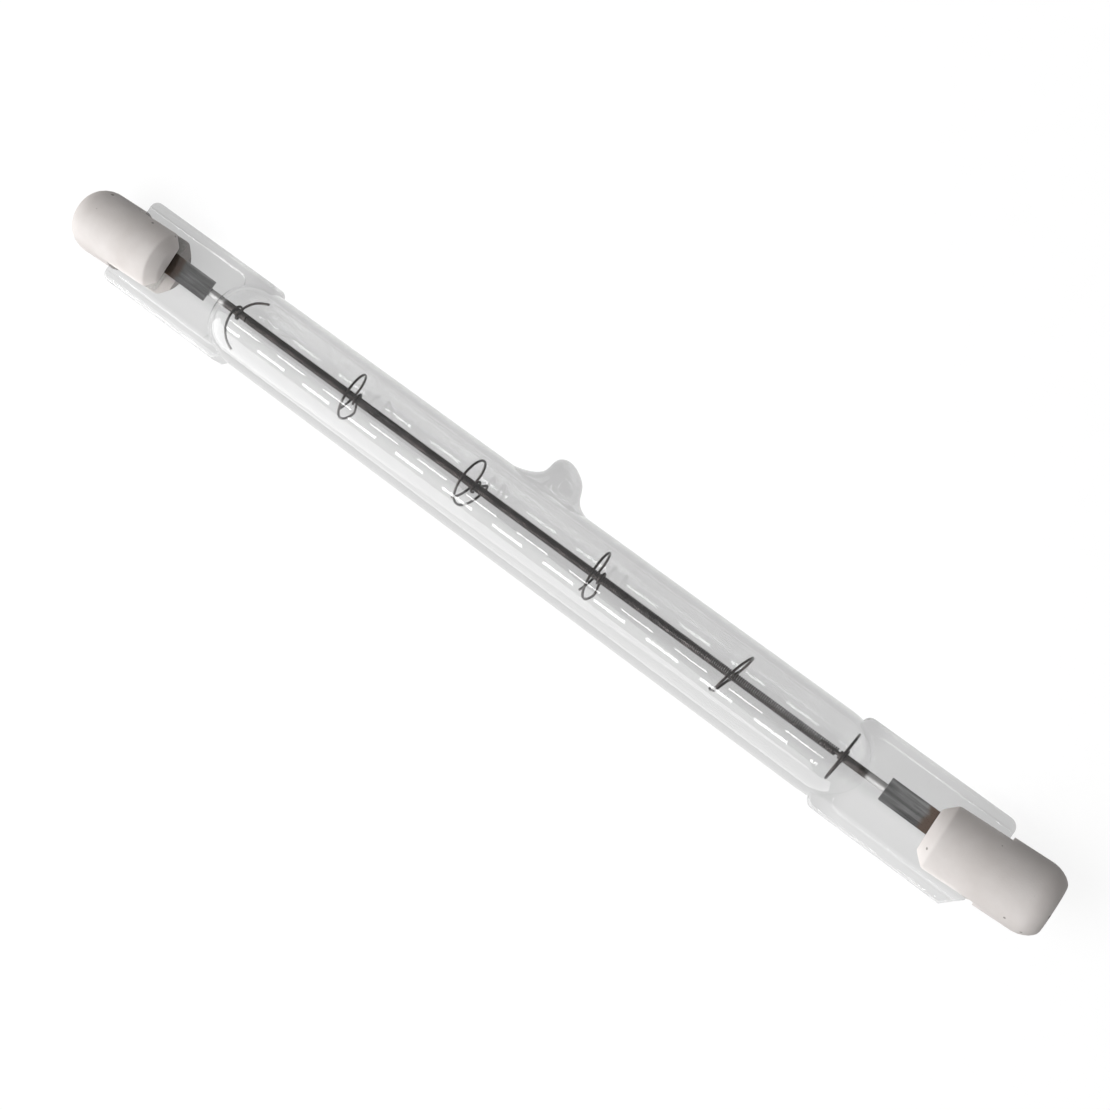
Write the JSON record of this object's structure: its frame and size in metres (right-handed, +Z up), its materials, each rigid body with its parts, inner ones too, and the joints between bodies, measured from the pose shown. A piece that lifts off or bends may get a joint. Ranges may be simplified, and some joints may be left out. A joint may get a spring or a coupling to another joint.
{
  "type": "linear halogen bulb",
  "caption": "Double-ended linear halogen lamp: clear quartz tube with pinched ends and a tip, coiled filament on wire supports, and slotted ceramic caps with recessed contacts.",
  "frame": {"origin": "centre of the underside of the lamp's box, on the floor that the tube and the tip lie on", "axes": "+X along the tube towards the right cap, +Z up, +Y towards the side that the exhaust tip leans to"},
  "size_m": [0.1178, 0.0122, 0.0086],
  "materials": {
    "quartz": "clear fused quartz, polished",
    "tungsten": "dark tungsten wire",
    "molybdenum": "dark grey molybdenum",
    "contact_metal": "nickel-plated contact",
    "steatite": "matt unglazed steatite",
    "cement": "rough white cement"
  },
  "bodies": {
    "root": {"quartz_envelope": "quartz", "filament": "tungsten", "filament_support_1": "tungsten", "filament_support_2": "tungsten", "filament_support_3": "tungsten", "filament_support_4": "tungsten", "filament_support_5": "tungsten", "filament_support_6": "tungsten", "inner_lead_left": "molybdenum", "inner_lead_right": "molybdenum", "foil_left": "molybdenum", "foil_right": "molybdenum", "outer_lead_left": "molybdenum", "outer_lead_right": "molybdenum", "contact_left": "contact_metal", "contact_right": "contact_metal", "ceramic_cap_left": "steatite", "ceramic_cap_right": "steatite", "cement_left": "cement", "cement_right": "cement"}
  },
  "joints": []
}
